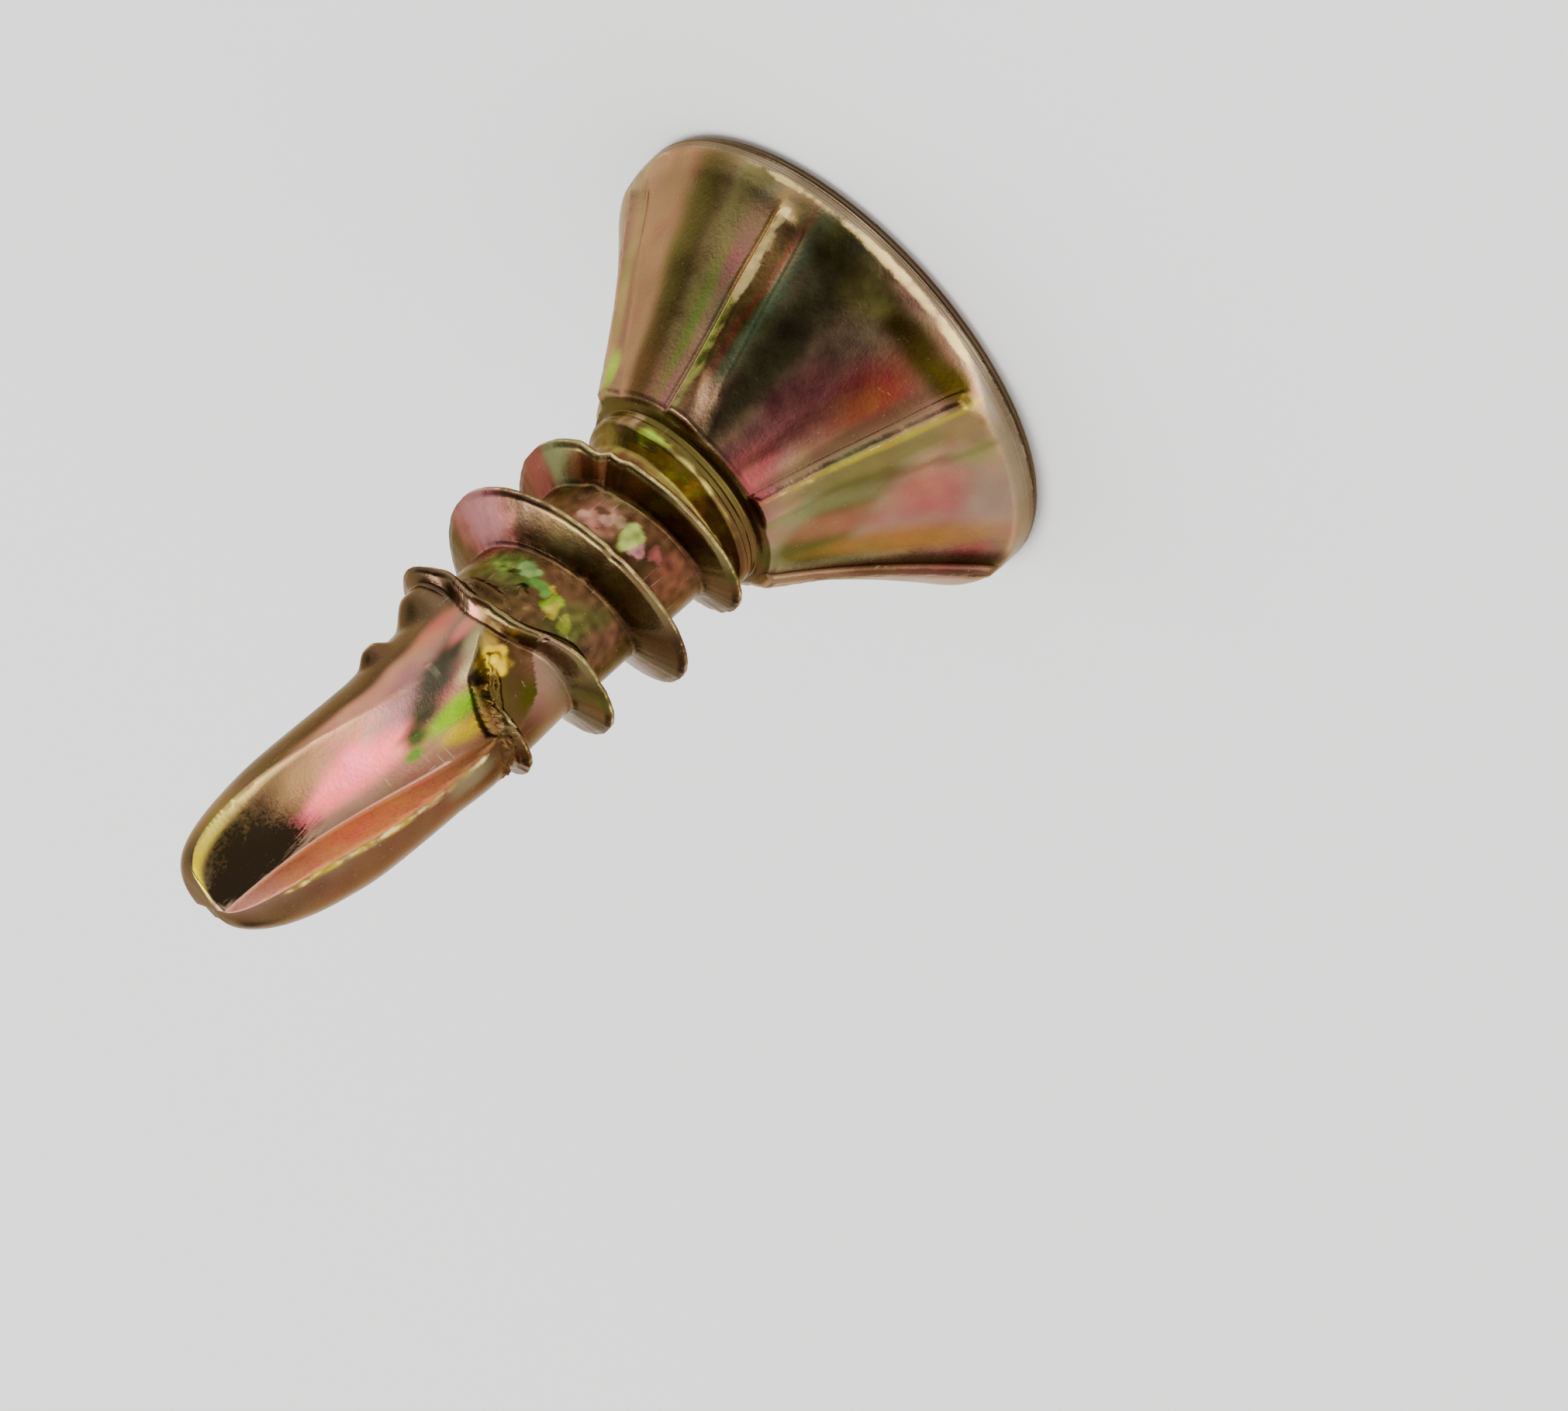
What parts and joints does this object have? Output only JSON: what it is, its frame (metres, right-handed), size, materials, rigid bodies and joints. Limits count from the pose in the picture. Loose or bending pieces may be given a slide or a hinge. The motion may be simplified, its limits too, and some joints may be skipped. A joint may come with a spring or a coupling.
{
  "type": "window frame screw",
  "caption": "Self-drilling countersunk screw for fixing window frames: ribbed cone under a flat cross-recessed head, short right-hand thread and fluted drill point.",
  "frame": {"origin": "middle of the head's flat face, on which the screw stands", "axes": "+Z along the shank from the head's face to the drill point; +X and +Y level, turned so that the side seen in the picture faces -Y"},
  "size_m": [0.0074, 0.0074, 0.0125],
  "materials": {
    "yellow_zinc": "yellow passivated zinc plating, glossy, with pink, olive and gold tints"
  },
  "bodies": {
    "root": {"window_frame_screw": "yellow_zinc"}
  },
  "joints": []
}
